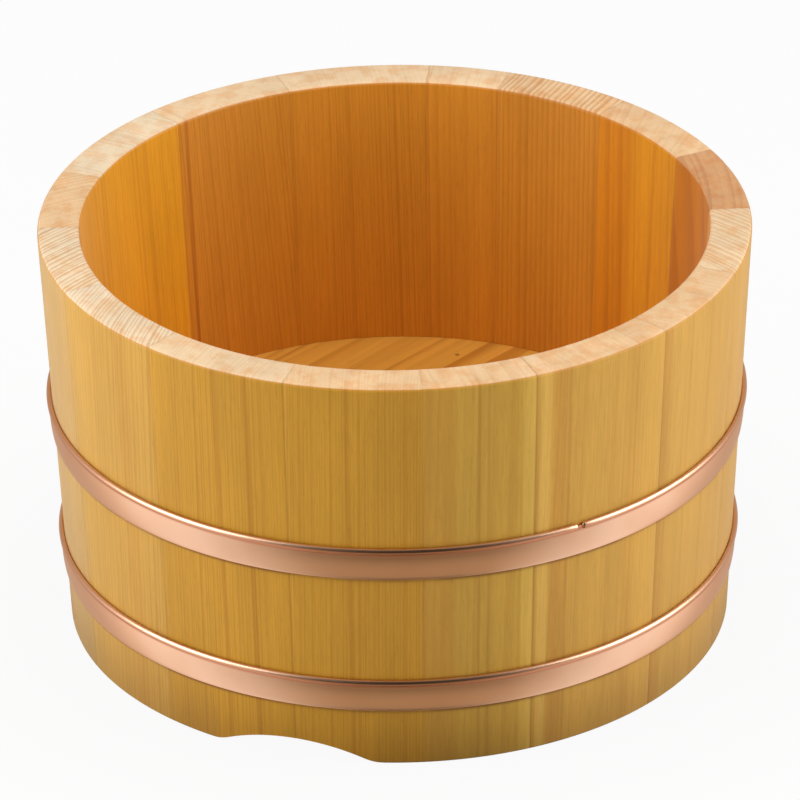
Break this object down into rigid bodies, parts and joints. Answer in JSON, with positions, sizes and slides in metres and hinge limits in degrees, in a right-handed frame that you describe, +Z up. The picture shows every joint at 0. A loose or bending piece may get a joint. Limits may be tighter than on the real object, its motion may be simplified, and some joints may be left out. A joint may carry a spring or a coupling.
{
  "type": "wooden tub",
  "caption": "Round tapered tub of upright wooden staves held by copper hoops, with an inset base and shallow arches cut in its foot.",
  "frame": {"origin": "middle of the foot's circle, on the surface that the tub stands on", "axes": "+Z up along the tub's centre line, -Y the front, with an arch of the foot just left of it"},
  "size_m": [0.2248, 0.2248, 0.136],
  "materials": {
    "stave_wood": "planed, unvarnished, satin",
    "base_wood": "planed, unvarnished, satin",
    "copper": "satin copper",
    "bamboo": "split bamboo, matt"
  },
  "bodies": {
    "root": {"stave_01": "stave_wood", "stave_02": "stave_wood", "stave_03": "stave_wood", "stave_04": "stave_wood", "stave_05": "stave_wood", "stave_06": "stave_wood", "stave_07": "stave_wood", "stave_08": "stave_wood", "stave_09": "stave_wood", "stave_10": "stave_wood", "stave_11": "stave_wood", "stave_12": "stave_wood", "stave_13": "stave_wood", "stave_14": "stave_wood", "stave_15": "stave_wood", "stave_16": "stave_wood", "stave_pegs": "bamboo", "base_board_left": "base_wood", "base_board_middle": "base_wood", "base_board_right": "base_wood", "base_pegs": "bamboo", "upper_hoop": "copper", "lower_hoop": "copper"}
  },
  "joints": []
}
